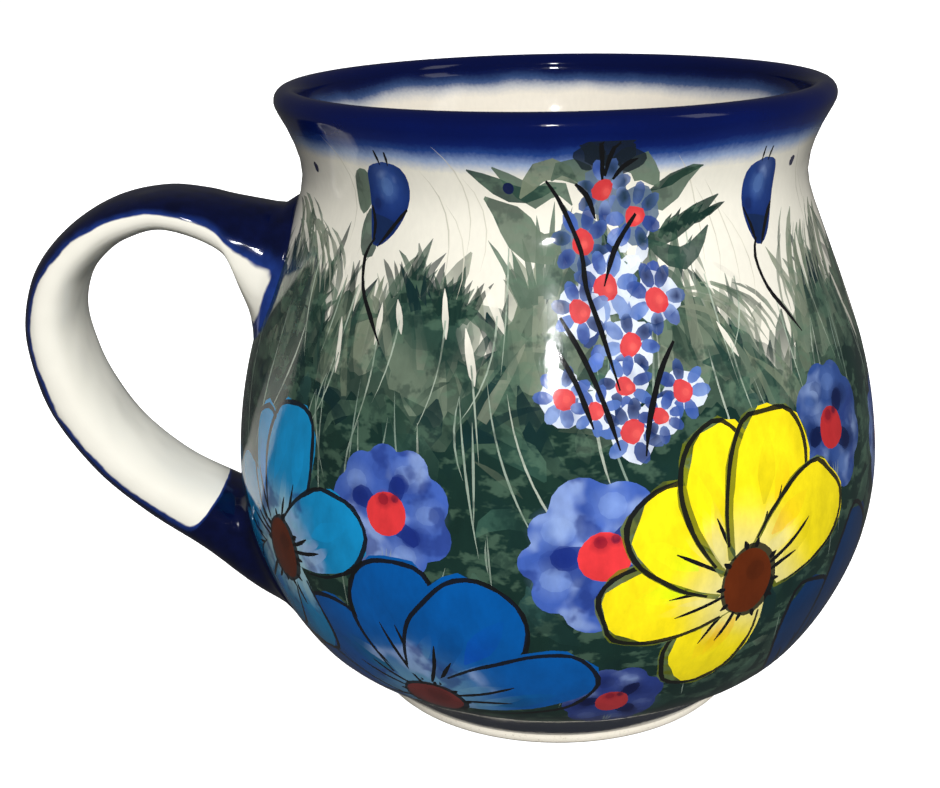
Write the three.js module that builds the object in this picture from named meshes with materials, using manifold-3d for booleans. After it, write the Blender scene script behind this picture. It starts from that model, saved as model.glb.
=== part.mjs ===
// Hand-painted stoneware mug: a round-bellied pot with a flared lip, a foot ring under its floor,
// and a strap handle luted to the wall at two joints. Millimetres, +Z up.
// The table plane is z = 0, and the middle of the mug's overall length lies over the origin.
import * as THREE from "three";
import { mergeVertices } from "three/addons/utils/BufferGeometryUtils.js";
import Module from "manifold-3d";

const wasm = await Module();
wasm.setup();

// Pot
const HEIGHT = 100;
const BELLY_R = 52.4;
const WALL = 4.2;
const LIP_R = 43.5; // widest radius of the flared lip
const LIP_ROUND = 2.1; // radius of the rounded lip edge
const FLOOR_UNDERSIDE = 1.7;
const FLOOR = 6.1;
const KNUCKLE_R = 37; // where the slanted base turns into the belly
const KNUCKLE_Z = 7.7;

// Foot ring, standing on the table under the floor
const FOOT_OUTER_R = 31;
const FOOT_INNER_R = 25;
const FOOT_CHAMFER = 0.5;

// Handle
const HANDLE_REACH = 85.7; // from the pot's axis to the back of the handle
const HANDLE_HALF_WIDTH = 9.6;
const ROOT_HALF_WIDTH = 10.8;
const JOINT_THICKNESS = 2.4; // layer of luting clay between wall and handle
const JOINT_OVERHANG = 0.8; // how far the wiped clay stands out round the handle's root

const GAP = 0.3; // clearance between touching pieces
const TURNS = 56; // facets round the pot
const SECTION_SIDES = 20; // facets round the handle
const POT_AXIS_X = (HANDLE_REACH - BELLY_R) / 2; // centres the overall length on the origin

const v2 = (r, z) => new THREE.Vector2(r, z);

// Outer face of the wall, from the knuckle up to just under the lip, as radius and height.
const outerFace = new THREE.SplineCurve([
  v2(KNUCKLE_R, KNUCKLE_Z),
  v2(40.5, 9.7),
  v2(43.9, 13.2),
  v2(47.9, 20),
  v2(51.1, 28.5),
  v2(BELLY_R, 38),
  v2(51.7, 48),
  v2(49.6, 58),
  v2(46.1, 68),
  v2(42.2, 78),
  v2(40, 84),
  v2(39.7, 88),
  v2(41, 92.5),
  v2(LIP_R - 0.5, 96.4),
]);

// Points of the outer face, moved out along its normal by a distance.
function outerPoints(count, offset = 0) {
  const points = [];
  for (let i = 0; i <= count; i += 1) {
    const t = i / count;
    const tangent = outerFace.getTangent(t);
    const point = outerFace.getPoint(t);
    points.push(v2(point.x + tangent.y * offset, point.y - tangent.x * offset));
  }
  return points;
}

// Rounded lip: an arc from the outside over the top to the inside.
function lipPoints(count) {
  const centre = v2(LIP_R - LIP_ROUND, HEIGHT - LIP_ROUND);
  const start = -0.1 * Math.PI;
  const end = 1.1 * Math.PI;
  const points = [];
  for (let i = 0; i <= count; i += 1) {
    const angle = start + ((end - start) * i) / count;
    points.push(v2(centre.x + LIP_ROUND * Math.cos(angle), centre.y + LIP_ROUND * Math.sin(angle)));
  }
  return points;
}

// Inner face of the wall, which follows the outer one at the wall's thickness, then the floor.
function innerPoints(count) {
  const lowest = FLOOR_UNDERSIDE + FLOOR;
  const wall = outerPoints(count, -WALL).reverse();
  const clearOfCorner = wall.filter((p) => p.y > lowest + 7 && p.y < HEIGHT - 2 * LIP_ROUND - 1.5);
  const corner = new THREE.SplineCurve([
    clearOfCorner.at(-1),
    v2(36.4, lowest + 3.4),
    v2(30, lowest + 0.7),
    v2(22, lowest),
  ]);
  return [...clearOfCorner, ...corner.getPoints(5).slice(1), v2(0, lowest)];
}

function lathe(points) {
  const geometry = new THREE.LatheGeometry(points, TURNS);
  geometry.rotateX(Math.PI / 2); // the lathe turns about Y, the pot stands along Z
  return geometry;
}

// A closed three.js geometry as a solid for cutting, and back again.
function solidFrom(geometry) {
  const bare = geometry.clone();
  bare.deleteAttribute("normal");
  bare.deleteAttribute("uv");
  const merged = mergeVertices(bare, 1e-4);
  const mesh = new wasm.Mesh({
    numProp: 3,
    vertProperties: new Float32Array(merged.attributes.position.array),
    triVerts: new Uint32Array(merged.index.array),
  });
  return new wasm.Manifold(mesh);
}

function geometryFrom(solid) {
  const mesh = solid.getMesh();
  const geometry = new THREE.BufferGeometry();
  geometry.setAttribute("position", new THREE.BufferAttribute(mesh.vertProperties.slice(), 3));
  geometry.setIndex(new THREE.BufferAttribute(mesh.triVerts.slice(), 1));
  return geometry;
}

// The pot's outside as a full solid, grown by an offset, for cutting the handle to the wall.
function potOutside(offset) {
  const wall = outerPoints(30, offset);
  const below = v2(0, wall[0].y);
  const above = v2(0, wall.at(-1).y);
  return solidFrom(lathe([below, ...wall, above]));
}

// The handle's edge as seen from the side: two rails, as distance from the pot's axis and height.
// The outer rail is the back of the strap and the inner rail is the side that the fingers touch.
const outerRail = new THREE.CatmullRomCurve3(
  [
    [38, 80],
    [50, 82.4],
    [56, 83.7],
    [62.5, 84.2],
    [70.2, 82.7],
    [77.4, 78.6],
    [82.9, 72.4],
    [HANDLE_REACH - 0.25, 64.8],
    [HANDLE_REACH - 0.25, 57.5],
    [82.9, 47.8],
    [76.5, 37.8],
    [68.7, 30.2],
    [59.6, 23.2],
    [50.4, 15.1],
    [38, 7.5],
  ].map(([reach, z]) => new THREE.Vector3(-reach, 0, z)),
);
const innerRail = new THREE.CatmullRomCurve3(
  [
    [47.6, 57.6],
    [49.7, 66.2],
    [52, 73.6],
    [61, 77.9],
    [67.9, 76.6],
    [72.6, 73.4],
    [75.6, 69.6],
    [77, 64.2],
    [76.2, 58.6],
    [74, 52.4],
    [69.4, 44.8],
    [62.3, 38.2],
    [55, 34.2],
    [49, 31.5],
    [43, 29.5],
  ].map(([reach, z]) => new THREE.Vector3(-reach, 0, z)),
);

// Strap between two stretches of the rails, with rounded sections that widen at the roots.
// grow makes the sections larger all round.
function strap(from, to, stations, grow = 0) {
  const positions = [];
  const index = [];
  for (let i = 0; i <= stations; i += 1) {
    const t = from + ((to - from) * i) / stations;
    const outer = outerRail.getPoint(t);
    const inner = innerRail.getPoint(t);
    const middle = outer.clone().add(inner).multiplyScalar(0.5);
    const half = outer.clone().sub(middle);
    half.setLength(half.length() + grow);
    const towardsRoot = Math.max(0, 1 - Math.min(t, 1 - t) / 0.14);
    const widening = (ROOT_HALF_WIDTH - HANDLE_HALF_WIDTH) * towardsRoot ** 2;
    const halfWidth = HANDLE_HALF_WIDTH + widening + grow;
    for (let k = 0; k < SECTION_SIDES; k += 1) {
      const angle = (2 * Math.PI * k) / SECTION_SIDES;
      // a superellipse, a little squarer than an oval
      const across = Math.sign(Math.sin(angle)) * Math.abs(Math.sin(angle)) ** 0.85;
      const along = Math.sign(Math.cos(angle)) * Math.abs(Math.cos(angle)) ** 0.85;
      positions.push(middle.x + half.x * along, halfWidth * across, middle.z + half.z * along);
    }
  }
  const ring = (i, k) => i * SECTION_SIDES + (k % SECTION_SIDES);
  for (let i = 0; i < stations; i += 1) {
    for (let k = 0; k < SECTION_SIDES; k += 1) {
      index.push(ring(i, k), ring(i, k + 1), ring(i + 1, k));
      index.push(ring(i, k + 1), ring(i + 1, k + 1), ring(i + 1, k));
    }
  }
  for (let k = 1; k < SECTION_SIDES - 1; k += 1) {
    index.push(ring(0, 0), ring(0, k + 1), ring(0, k));
    index.push(ring(stations, 0), ring(stations, k), ring(stations, k + 1));
  }
  const geometry = new THREE.BufferGeometry();
  geometry.setAttribute("position", new THREE.Float32BufferAttribute(positions, 3));
  geometry.setIndex(index);
  return geometry;
}

function bodyGeometry() {
  return lathe([
    v2(0, FLOOR_UNDERSIDE),
    v2(FOOT_OUTER_R + GAP, FLOOR_UNDERSIDE),
    ...outerPoints(20),
    ...lipPoints(8),
    ...innerPoints(20),
  ]);
}

function footRingGeometry() {
  const top = FLOOR_UNDERSIDE - GAP;
  return lathe([
    v2(FOOT_INNER_R, top),
    v2(FOOT_INNER_R + 0.6, FOOT_CHAMFER),
    v2(FOOT_INNER_R + 0.6 + FOOT_CHAMFER, 0),
    v2(FOOT_OUTER_R - FOOT_CHAMFER, 0),
    v2(FOOT_OUTER_R, FOOT_CHAMFER),
    v2(FOOT_OUTER_R, top),
    v2(FOOT_INNER_R, top),
  ]);
}

// The strap, cut off where the luting clay begins.
function handleGeometry() {
  const clayFace = potOutside(GAP + JOINT_THICKNESS + GAP);
  return geometryFrom(solidFrom(strap(0, 1, 44)).subtract(clayFace));
}

// A layer of luting clay between the wall and one root of the strap.
function jointGeometry(from, to) {
  const root = solidFrom(strap(from, to, 10, JOINT_OVERHANG));
  const layer = root.intersect(potOutside(GAP + JOINT_THICKNESS));
  return geometryFrom(layer.subtract(potOutside(GAP)));
}

const group = new THREE.Group();
group.position.x = POT_AXIS_X;

function addPiece(name, geometry, colour, roughness) {
  const material = new THREE.MeshStandardMaterial({ color: colour, roughness, metalness: 0 });
  const mesh = new THREE.Mesh(geometry, material);
  mesh.name = name;
  group.add(mesh);
}

addPiece("body", bodyGeometry(), 0x6d7c74, 0.12);
addPiece("foot_ring", footRingGeometry(), 0xddd8cc, 0.75);
addPiece("handle", handleGeometry(), 0xe6e0d2, 0.12);
addPiece("upper_handle_joint", jointGeometry(0, 0.16), 0x10205a, 0.14);
addPiece("lower_handle_joint", jointGeometry(0.84, 1), 0x10205a, 0.14);

export default group;
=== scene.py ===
import math
import random

import bpy
import numpy as np
from mathutils import Matrix, Vector
from mathutils.geometry import delaunay_2d_cdt


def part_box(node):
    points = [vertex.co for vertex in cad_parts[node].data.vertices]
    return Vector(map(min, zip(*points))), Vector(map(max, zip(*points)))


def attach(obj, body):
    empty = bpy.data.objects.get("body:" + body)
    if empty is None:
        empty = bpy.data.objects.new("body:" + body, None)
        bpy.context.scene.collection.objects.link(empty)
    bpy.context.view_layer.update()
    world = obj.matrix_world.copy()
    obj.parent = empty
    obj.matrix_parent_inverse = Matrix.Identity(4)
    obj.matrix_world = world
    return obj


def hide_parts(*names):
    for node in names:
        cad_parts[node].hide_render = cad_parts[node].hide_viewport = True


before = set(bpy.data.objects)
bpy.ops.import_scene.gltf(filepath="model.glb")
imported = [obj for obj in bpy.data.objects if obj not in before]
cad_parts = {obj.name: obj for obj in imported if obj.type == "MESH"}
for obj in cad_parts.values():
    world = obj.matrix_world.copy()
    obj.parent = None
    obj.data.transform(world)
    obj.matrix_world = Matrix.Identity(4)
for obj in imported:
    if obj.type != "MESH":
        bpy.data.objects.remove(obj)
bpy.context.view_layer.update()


# ---- The pot's shape -------------------------------------------------------------------------
# A round-bellied stoneware pot, thrown on the wheel with a flared lip and turned to a slanted
# base. Its whole section is one line: under the floor, up the wall, over the lip, and down inside.
MM = 0.001
pot_low, pot_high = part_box("body")
BELLY = (pot_high.y - pot_low.y) / 2 / MM
AXIS_X = pot_high.x - BELLY * MM
TOP = pot_high.z / MM
UNDERSIDE = pot_low.z / MM
BASE_R = 31.3
WALL = 4.2
LIP_R = 43.5
LIP_ROUND = 2.1
FLOOR_TOP = 7.8
OUTER_FACE = [
    (37, 7.7), (40.5, 9.7), (43.9, 13.2), (47.9, 20), (51.1, 28.5), (BELLY, 38), (51.7, 48),
    (49.6, 58), (46.1, 68), (42.2, 78), (40, 84), (39.7, 88), (41, 92.5), (LIP_R - 0.5, 96.4),
]
WALL_TOP = 98.7  # the wall's length along its curve, up to the lip


def spline(points, steps=24):
    """A smooth curve through points, with the same number of steps between each two."""
    p = np.array(points, float)
    p = np.vstack([p[:1], p, p[-1:]])
    t = np.linspace(0, 1, steps, endpoint=False)[:, None]
    spans = []
    for a, b, c, d in zip(p, p[1:], p[2:], p[3:]):
        out = (c - a) / 2
        into = (d - b) / 2
        cubic = 2 * (b - c) + out + into
        square = 3 * (c - b) - 2 * out - into
        spans.append(cubic * t**3 + square * t**2 + out * t + b)
    return np.vstack([*spans, p[-1:]])


def lengths(points):
    """How far along a line each of its points lies."""
    return np.concatenate([[0], np.cumsum(np.hypot(*np.diff(points, axis=0).T))])


def even(points, spacing):
    """The same line with its points spaced evenly."""
    along = lengths(points)
    at = np.linspace(0, along[-1], max(2, round(along[-1] / spacing)) + 1)
    return np.column_stack([np.interp(at, along, points[:, 0]), np.interp(at, along, points[:, 1])])


def sideways(line):
    """Unit vectors across a line, to the right of its direction."""
    ahead = np.gradient(line, axis=0)
    ahead /= np.maximum(np.hypot(*ahead.T), 1e-9)[:, None]
    return np.column_stack([ahead[:, 1], -ahead[:, 0]])


outer = spline(OUTER_FACE)
lip_turn = np.linspace(-0.1, 1.1, 30)[:, None] * math.pi
lip_centre = np.array([LIP_R - LIP_ROUND, TOP - LIP_ROUND])
lip = lip_centre + LIP_ROUND * np.hstack([np.cos(lip_turn), np.sin(lip_turn)])
inner = (outer - WALL * sideways(outer))[::-1]
inner = inner[(inner[:, 1] > FLOOR_TOP + 7) & (inner[:, 1] < TOP - 2 * LIP_ROUND - 1.5)]
corner = spline([inner[-1], (36.4, FLOOR_TOP + 3.4), (30, FLOOR_TOP + 0.7), (22, FLOOR_TOP)])
stretches = [(0, UNDERSIDE), (BASE_R, UNDERSIDE), outer, lip, inner, corner, (0, FLOOR_TOP)]
section = even(np.vstack(stretches), 0.2)
for _ in range(10):  # firing and glaze leave every edge soft
    section[1:-1] = (section[:-2] + 2 * section[1:-1] + section[2:]) / 4
run = lengths(section)
lip_start = run[np.argmin(np.hypot(*(section - outer[-1]).T))]
climb = run - lip_start + WALL_TOP  # height along the wall, where 0 is just under its lower edge


# ---- The painting ----------------------------------------------------------------------------
# The wall is painted before the glaze: a sponged and brushed meadow with scratched blades, then
# flowers, with black outlines drawn last. It is laid out flat: turns in degrees from the front,
# and heights in millimetres up the wall.
ROUND = 50 * 2 * math.pi  # girth of the flat sheet
DEGREE = ROUND / 360
SEAM = -90 * DEGREE  # the sheet's ends meet behind the handle
COLUMNS = 128
PAINT_LOW = 1.8
PAINT_HIGH = WALL_TOP - 0.2
dice = random.Random(11)
strokes = []
INK = (20, 21, 23)
IVORY = (241, 237, 222)
DARK_GREENS = [(22, 48, 42), (32, 60, 50), (16, 44, 46), (44, 72, 62)]
MID_GREENS = [(54, 88, 76), (68, 98, 82), (44, 78, 74), (84, 110, 90)]
SAGES = [(104, 120, 102), (120, 132, 110), (88, 108, 92), (138, 146, 126)]


def linear(colour):
    """Linear light from a colour given in 0 to 255."""
    c = np.array(colour, float) / 255
    return np.where(c <= 0.04045, c / 12.92, ((c + 0.055) / 1.055) ** 2.4)


def at(turn, up):
    """A spot on the flat sheet."""
    return np.array([turn * DEGREE, up], float)


def toward(angle, reach=1.0):
    """A step on the flat sheet, 90 degrees being up."""
    return reach * np.array([math.cos(math.radians(angle)), math.sin(math.radians(angle))])


def brush(outline, colour, strength=1.0, end=None, weak=None, start=None, reach=None):
    """One stroke. With a reach, colour and strength change to end and weak from start to reach:
    reach is a point for a change along the stroke, or a radius for a change outwards."""
    outline = np.array(outline, float)
    weak = strength if weak is None else weak
    paint = (linear(colour), strength, linear(end or colour), weak, start, reach)
    for shift in (-ROUND, 0, ROUND):
        moved = outline + (shift, 0)
        if moved[:, 0].max() > SEAM + 1 and moved[:, 0].min() < SEAM + ROUND - 1:
            moved[:, 0] = moved[:, 0].clip(SEAM + 0.6, SEAM + ROUND - 0.6)
            moved[:, 1] = moved[:, 1].clip(PAINT_LOW + 0.5, PAINT_HIGH - 0.5)
            strokes.append((moved, shift, *paint))


def ribbon(points, width, taper, spacing=2.6):
    """The outline of a brush line whose half width follows taper(0..1)."""
    path = even(spline(points, 8), min(spacing, max(1.3, lengths(np.array(points, float))[-1] / 5)))
    t = np.linspace(0, 1, len(path))
    half = width / 2 * taper(t) * (1 + 0.1 * np.array([dice.gauss(0, 1) for _ in t]))
    across = sideways(path) * half[:, None]
    return np.vstack([path + across, (path - across)[::-1]])


def pen(t):
    return np.minimum(1, 0.55 + 2.5 * t) * np.minimum(1, 0.25 + 3 * (1 - t))


def leaf(t):
    return np.sin(math.pi * t.clip(0.01, 0.99)) ** 0.7


def tip(t):
    return np.minimum(1, 0.6 + 3 * t) * (1 - t) ** 0.55 + 0.02


def line(points, width, colour=INK, strength=1.0):
    """A pen line through points."""
    brush(ribbon(points, width, pen, 1.6), colour, strength)


def blade(root, angle, length, width, bend, colour, strength, weak=None, taper=tip):
    """A grass blade from its root, turning by bend degrees on the way to its tip."""
    points = [root]
    for k in range(4):
        points.append(points[-1] + toward(angle + bend * (k + 0.5) / 4, length / 4))
    brush(ribbon(points, width, taper), colour, strength, None, weak, points[0], points[-1])


def blob(centre, wide, tall, wobble=0.06, sides=18, tilt=0.0):
    """A hand-made round or oval."""
    turn = np.linspace(0, 2 * math.pi, sides, endpoint=False)
    size = 1 + wobble * np.array([dice.gauss(0, 1) for _ in turn])
    size = (np.roll(size, 1) + 2 * size + np.roll(size, -1)) / 4
    x, y = wide * size * np.cos(turn), tall * size * np.sin(turn)
    c, s = math.cos(math.radians(tilt)), math.sin(math.radians(tilt))
    return np.column_stack([x * c - y * s, x * s + y * c]) + centre


def bloom(centre, radius, colour, strength, squash=1.0):
    """A wet touch of colour that fades outwards."""
    for size in (radius, radius * 0.5):
        brush(blob(centre, size, size * squash, 0.03, 10), colour, strength, None, 0.0, centre, radius)


def around(points):
    """A smooth closed outline through points."""
    p = np.array(points, float)
    return even(spline(np.vstack([p, p[:1]]), 6), 1.2)[:-1]


# The meadow. A sage wash ends in a ragged skyline, darker strokes build up towards the foot, and
# bare ivory shows between the tall blades.
SKYLINE = [
    (-90, 80), (-70, 81), (-60, 84), (-53, 82), (-49, 75), (-45, 83), (-41, 75), (-36, 81), (-30, 82),
    (-25, 79), (-21, 79), (-17, 72), (-13, 76), (-9, 83), (-4, 86), (2, 88), (8, 89), (14, 86), (20, 83),
    (26, 79), (31, 74), (36, 70), (40, 68), (44, 73), (48, 81), (55, 80), (62, 79), (75, 82), (90, 77),
    (105, 84), (120, 76), (140, 85), (150, 88), (160, 85), (175, 75), (190, 82), (205, 76), (220, 83),
    (235, 75), (250, 82), (270, 80),
]


def skyline(turn):
    """How high the meadow reaches at a turn."""
    return np.interp(turn, *zip(*SKYLINE))


def wash(height, colour, strength):
    """A wide wash whose ragged top edge follows height(turn)."""
    top = [at(turn, height(turn) + dice.uniform(-1.2, 1.2)) for turn in np.arange(-92, 273, 1.1)]
    brush([*top, at(272, 3), at(-92, 3)], colour, strength)


def dab_over(count, low, high, colours, length, width, strength, swing, bend=45):
    """Scattered strokes between two heights, each with its own length, width, lean and bend."""
    for _ in range(count):
        turn = dice.uniform(-90, 270)
        root = at(turn, dice.uniform(low, min(high, skyline(turn) - length[0] - 2)))
        blade(root, dice.gauss(90, swing), dice.uniform(*length), dice.uniform(*width), dice.gauss(0, bend),
              dice.choice(colours), 0.1, dice.uniform(*strength), leaf)


wash(lambda turn: skyline(turn) - 6, SAGES[0], 1.0)
dab_over(110, 56, 76, SAGES, (8, 17), (3, 6), (0.5, 0.95), swing=24)
wash(lambda turn: 64 + 3 * math.sin(turn / 9 + 1) + 2 * math.sin(turn / 3.1), DARK_GREENS[1], 0.75)
wash(lambda turn: 60 + 3 * math.sin(turn / 9 + 1) + 2 * math.sin(turn / 3.1), DARK_GREENS[0], 1.0)
dab_over(230, 2, 62, MID_GREENS, (6, 14), (1.8, 4.4), (0.6, 1.0), swing=65, bend=80)
dab_over(60, 10, 60, SAGES, (4, 9), (1, 2.6), (0.25, 0.6), swing=60)
dab_over(70, 2, 58, DARK_GREENS, (6, 14), (1.6, 4), (0.6, 1.0), swing=60, bend=70)
dab_over(120, 50, 70, DARK_GREENS, (7, 16), (1.6, 4.4), (0.6, 1.0), swing=30)
dab_over(80, 60, 80, DARK_GREENS, (6, 12), (0.9, 2.6), (0.5, 0.95), swing=26)
for turn in np.arange(-90, 270, 2.3):
    for _ in range(2):
        spot = turn + dice.uniform(-1.5, 1.5)
        rise = dice.uniform(8, 15)
        root = at(spot, skyline(spot) + dice.uniform(-4, 3) - rise)
        blade(root, dice.gauss(92, 14), rise, dice.uniform(1.4, 3.4), dice.gauss(0, 42),
              dice.choice(SAGES + SAGES + DARK_GREENS), 0.5, dice.uniform(0.7, 1.0))


for _ in range(70):
    root = at(dice.uniform(-86, -46), dice.uniform(58, 72))
    blade(root, dice.gauss(92, 14), dice.uniform(8, 15), dice.uniform(1, 2.6), dice.gauss(0, 40),
          dice.choice(DARK_GREENS), 0.3, dice.uniform(0.6, 1.0))


def tuft(turn, up, spread, rise, colour, strength=0.9):
    """Ragged brush tips fanning out from one spot."""
    for share in np.arange(-7, 8, 2) / 8:
        root = at(turn + spread * share * 0.6, up + dice.uniform(-1, 1))
        blade(root, 90 - 28 * share, rise * dice.uniform(0.7, 1.1), 1.6 * dice.uniform(0.7, 1.3),
              -25 * share, colour, strength)


def combed(turn, up, count, angle, bend, length, gap=1.3, colour=(146, 152, 136), width=0.7):
    """Thin blades drawn side by side."""
    for k in range(count):
        root = at(turn, up) + toward(angle - 90, gap * (k - count / 2))
        lean = angle + dice.gauss(0, 3)
        blade(root, lean, length * dice.uniform(0.8, 1.1), width * dice.uniform(0.6, 1.2),
              bend, colour, 0.85, taper=leaf)


for turn in (-31, -27, -23, -21, 56, 100, 143, 187, 222):
    bloom(at(turn, skyline(turn) - 8), 7, DARK_GREENS[3], 0.6)
    tuft(turn, skyline(turn) - 6, 5, 6, dice.choice(DARK_GREENS), 0.8)
tuft(-5, 76, 7, 12, SAGES[2])
for turn, up in ((38, 68), (-49, 75), (-58, 77), (118, 72), (178, 70), (238, 72)):
    combed(turn, up, 6, 108, 62, 13)
    combed(turn - 5, up + 2, 4, 112, 70, 13, 1.6, (124, 134, 114), 1.1)
for turn, up in ((47, 71), (58, 72), (128, 72), (206, 72)):
    combed(turn, up, 5, 96, -60, 15, 1.5)
    combed(turn + 4, up, 3, 92, -55, 16, 2.2, (124, 134, 114), 1.8)


def slit(turn, up, angle, length, bend):
    """Bare ivory left between two strokes, drawn out downwards into a scratched line."""
    root = at(turn, up)
    blade(root - toward(angle, 0.5), angle, length, dice.uniform(0.9, 1.4), bend, IVORY, 0.75, 0.95, leaf)
    blade(root + toward(angle, 0.3 * length), -88 + dice.gauss(0, 4), 0.3 * length + dice.uniform(8, 16),
          0.34, dice.gauss(0, 20), (176, 190, 172), 0.8)


for turn, up, length, angle, bend in (
    (-42.5, 73, 11, 92, -40), (-43.6, 64, 8, 94, 10), (-47.5, 74, 9, 70, 40), (-36, 69, 6, 84, 10),
    (-31, 71, 5, 110, 0), (-22.2, 71, 7, 100, 0), (-16.5, 65, 8, 105, 0), (-12, 72, 8, 118, 0),
    (-11, 81, 8, 108, 20), (22.5, 84, 3, 60, 0), (26.5, 76, 9, 112, 22), (29, 67, 6, 118, 0),
    (34, 76, 8, 140, 10), (52.5, 74, 8, 96, -30), (42, 72, 6, 120, 20), (-55, 77, 8, 120, 30),
    (-62, 79, 8, 140, 20),
):
    slit(turn, up, angle, length, bend)
for _ in range(36):
    turn = dice.uniform(62, 278)
    up = skyline(turn) - dice.uniform(6, 20)
    slit(turn, up, dice.gauss(95, 14), dice.uniform(5, 9), dice.gauss(0, 30))

# Blades scratched through the wet colour down to the pale clay, and hairlines on the bare neck.
SCRATCH = (166, 182, 166)


def scratch(top, lean, length, width, bend, colour, strength=0.8):
    """A fine line drawn downwards from its top."""
    blade(top, lean - 90, length, width, bend, colour, strength, taper=leaf)


for _ in range(60):
    turn = dice.uniform(-90, 270)
    top = at(turn, dice.uniform(56, skyline(turn) - 4))
    pale = dice.choice([SCRATCH, (190, 200, 184), (138, 158, 144)])
    scratch(top, dice.gauss(4, 5), dice.uniform(12, 26), dice.uniform(0.24, 0.4), dice.gauss(0, 18), pale)
    if dice.random() < 0.3:
        scratch(top, dice.gauss(-22, 6), dice.uniform(8, 15), 0.28, 36, pale, 0.7)
for _ in range(60):
    top = at(dice.uniform(-90, 270), dice.uniform(14, 50))
    scratch(top, dice.gauss(4, 7), dice.uniform(4, 9), 0.27, dice.gauss(0, 12), SCRATCH, 0.55)
for turn, up in (
    (-24, 78), (-20, 82), (33, 76), (26, 80), (-48, 82), (60, 80), (110, 82), (175, 80), (215, 82), (250, 82),
):
    scratch(at(turn, up), 168, 17, 0.26, 60, (206, 202, 184))
    scratch(at(turn + 3, up - 2), 160, 14, 0.24, 70, (212, 208, 190))


# The flower spike: brushed leaves at its head, then small white flowers with blue dabs and a red
# eye, and black stems.
LIGHT_DABS = [(56, 86, 160), (38, 62, 130), (80, 112, 182), (22, 40, 88)]
DEEP_DABS = [(34, 54, 118), (30, 52, 82), (60, 90, 170), (26, 48, 60)]


def floret(turn, up, size, ground=(222, 230, 242), dabs=LIGHT_DABS):
    centre = at(turn, up)
    brush(blob(centre, 3.9 * size, 3.7 * size, 0.2, 18), ground, 0.95)
    first = dice.uniform(0, 45)
    for k in range(7):
        angle = first + 51 * k + dice.uniform(-8, 8)
        spot = centre + toward(angle, 3.3 * size)
        petal = blob(spot, 1.75 * size, 1.1 * size, 0.12, 10, angle)
        brush(petal, dice.choice(dabs), 0.97, (86, 116, 180), 0.85, spot, 2.8)
    brush(blob(centre, 1.8 * size, 1.75 * size, 0.2, 12), (214, 58, 60), 0.97)
    bloom(centre + (0.5, -0.3), 1.2 * size, (244, 106, 98), 0.5)


def spike(turn, up):
    """The whole spike, whose head stands at a turn and a height."""
    for points, width, colour in (
        (((-6, -2), (-9, 1), (-13, -1), (-21, 3.5)), 3.0, SAGES[2]),
        (((-9, 0.5), (-12, 0), (-17, -0.5), (-26, 3)), 2.6, DARK_GREENS[3]),
        (((-6, -5), (-12, -8), (-18, -4), (-23, -1)), 5.0, SAGES[0]),
        (((-5, 1), (-8, 3), (-12, 3), (-16, -1)), 3.6, SAGES[1]),
        (((6, 0), (11, -2), (16, 1), (19.5, 2.5)), 3.4, SAGES[2]),
        (((9, -0.5), (13, 0.8), (17, 2.2), (20, 2.6)), 1.8, DARK_GREENS[1]),
        (((5, -6), (11, -7), (17, -5), (25, -2)), 2.6, DARK_GREENS[1]),
        (((8, -7), (14, -10), (18, -9), (22, -6)), 3.0, DARK_GREENS[3]),
        (((3, 3), (6, 3.5), (9, 2), (11, 0)), 3.8, SAGES[0]),
        (((-1, -1), (-4, 2.5), (-8, 3.5), (-10, 1.5)), 3.2, SAGES[2]),
    ):
        brush(ribbon([at(turn + x, up + y) for x, y in points], width, leaf), colour, 0.95)
    for k in range(9):
        root = at(turn + 11 + 1.3 * k, up - 7 + 0.3 * k)
        blade(root, 60 - 5 * k + dice.gauss(0, 8), dice.uniform(3, 5), 1.3, -10, DARK_GREENS[0], 0.95)
    for x, y, wide, tall in ((0, 6, 4.6, 2.6), (-3, 5, 2.4, 2), (4, 4.4, 2.6, 2), (0.5, 3, 2, 2)):
        brush(blob(at(turn + x, up + y), wide, tall, 0.16), (24, 34, 44), 0.9)
    pale = (226, 232, 242)
    for _ in range(60):
        spot = at(turn + dice.uniform(-7, 9), up + dice.uniform(-31, -4))
        shade = dice.choice([(52, 82, 168), (86, 118, 200), (36, 58, 120), pale, pale, MID_GREENS[0]])
        brush(blob(spot, 1.5, 1, 0.12, 8, dice.uniform(0, 90)), shade, 0.85)
    for x, y, size in (
        (0, 0, 0.95), (6.2, -3.8, 1), (-4.4, -7, 1), (-0.2, -13, 1.05), (8.8, -15, 1), (-5, -16.2, 0.9),
        (3.2, -21, 0.9), (2, -26.4, 0.8), (11.4, -27.7, 0.85), (-8.2, -27.6, 0.85), (2.6, -32.6, 0.95),
        (-3, -29.6, 0.7), (7.5, -31, 0.7),
    ):
        if y > -10:
            floret(turn + x, up + y, size, (96, 116, 136), DEEP_DABS)
        else:
            floret(turn + x, up + y, size)
    for points in (
        ((-11, 1.5), (-8, -2), (-4.5, -8), (-3.8, -13), (-1.5, -19), (1, -27)),
        ((-5.5, 1), (-3, -1), (-1.5, -4)),
        ((6.5, -3.5), (2, -8), (-0.5, -13)), ((-8.5, -17), (-5, -22), (-2, -28), (0.5, -35)),
        ((-9, -21.5), (-6, -26), (-3.5, -32)), ((11, -21), (8, -25), (5.5, -31), (4.5, -36)),
        ((-0.4, 1.5), (-0.8, 5), (-1.5, 8.5)), ((1.6, 1.5), (3.5, 3.5), (6, 4.5)), ((0, 2), (1, 6), (3, 9)),
    ):
        line([at(turn + x, up + y) for x, y in points], 0.78)


spike(6.2, 91)
spike(150, 90)


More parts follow.
